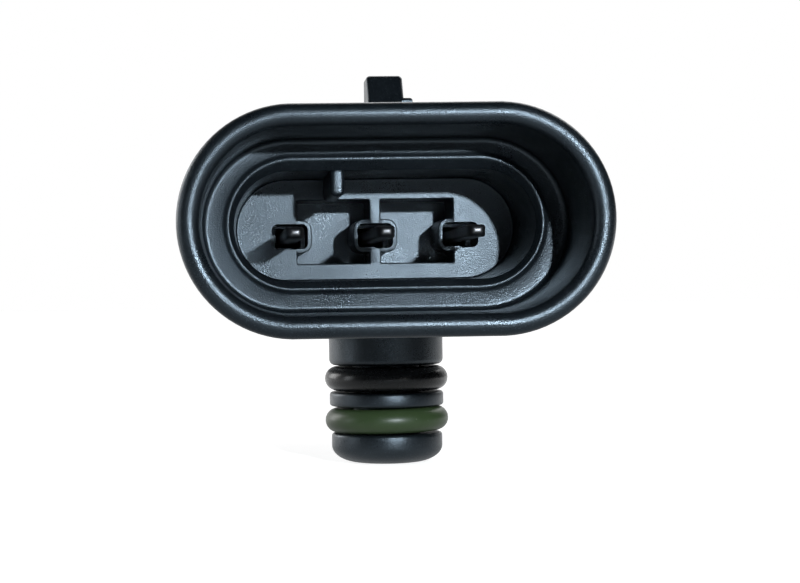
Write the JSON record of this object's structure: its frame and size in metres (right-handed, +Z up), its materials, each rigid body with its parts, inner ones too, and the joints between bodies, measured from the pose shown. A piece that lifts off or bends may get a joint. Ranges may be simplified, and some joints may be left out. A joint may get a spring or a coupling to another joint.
{
  "type": "manifold absolute pressure sensor",
  "caption": "Engine intake pressure sensor with an obround electrical header, a spigot port sealed by O-rings and a bolt-down ear.",
  "frame": {"origin": "on the port's axis, in the plane of the seat that rests on the manifold", "axes": "+Z up out of the manifold, opposite to the port; -Y out of the electrical header; +Y towards the mounting ear; +X to the right when looking into the header"},
  "size_m": [0.0271, 0.0515, 0.0266],
  "materials": {
    "housing_plastic": "glass-filled black moulding with a fine grain and a satin sheen",
    "black_rubber": "smooth black seal rubber with a light film of oil",
    "green_rubber": "smooth olive green seal rubber",
    "contact_metal": "bright tin plating",
    "cover_plastic": "black moulding, matt",
    "adhesive": "cured dark grey adhesive",
    "limiter_steel": "turned steel, zinc plated",
    "potting": "cured black epoxy",
    "board": "green coated fibreglass",
    "gasket_rubber": "red-brown silicone",
    "solder": "solder",
    "glass": "ground technical glass",
    "silicon": "polished silicon",
    "dam_plastic": "dark moulding",
    "gel": "clear soft silicone gel",
    "chip_plastic": "black chip moulding",
    "chip_ceramic": "fired ceramic",
    "resistor_body": "glazed film on ceramic"
  },
  "bodies": {
    "root": {"housing": "housing_plastic", "upper_o_ring": "black_rubber", "lower_o_ring": "green_rubber", "terminal_left": "contact_metal", "terminal_middle": "contact_metal", "terminal_right": "contact_metal", "cover": "cover_plastic", "cover_adhesive": "adhesive", "compression_limiter": "limiter_steel", "terminal_seal": "potting", "circuit_board": "board", "board_gasket": "gasket_rubber", "solder_left": "solder", "solder_middle": "solder", "solder_right": "solder", "glass_pedestal": "glass", "sense_die": "silicon", "gel_frame": "dam_plastic", "protective_gel": "gel", "signal_chip": "chip_plastic", "capacitor_1": "chip_ceramic", "capacitor_2": "chip_ceramic", "capacitor_3": "chip_ceramic", "capacitor_4": "chip_ceramic", "resistor_1": "resistor_body", "resistor_2": "resistor_body"}
  },
  "joints": []
}
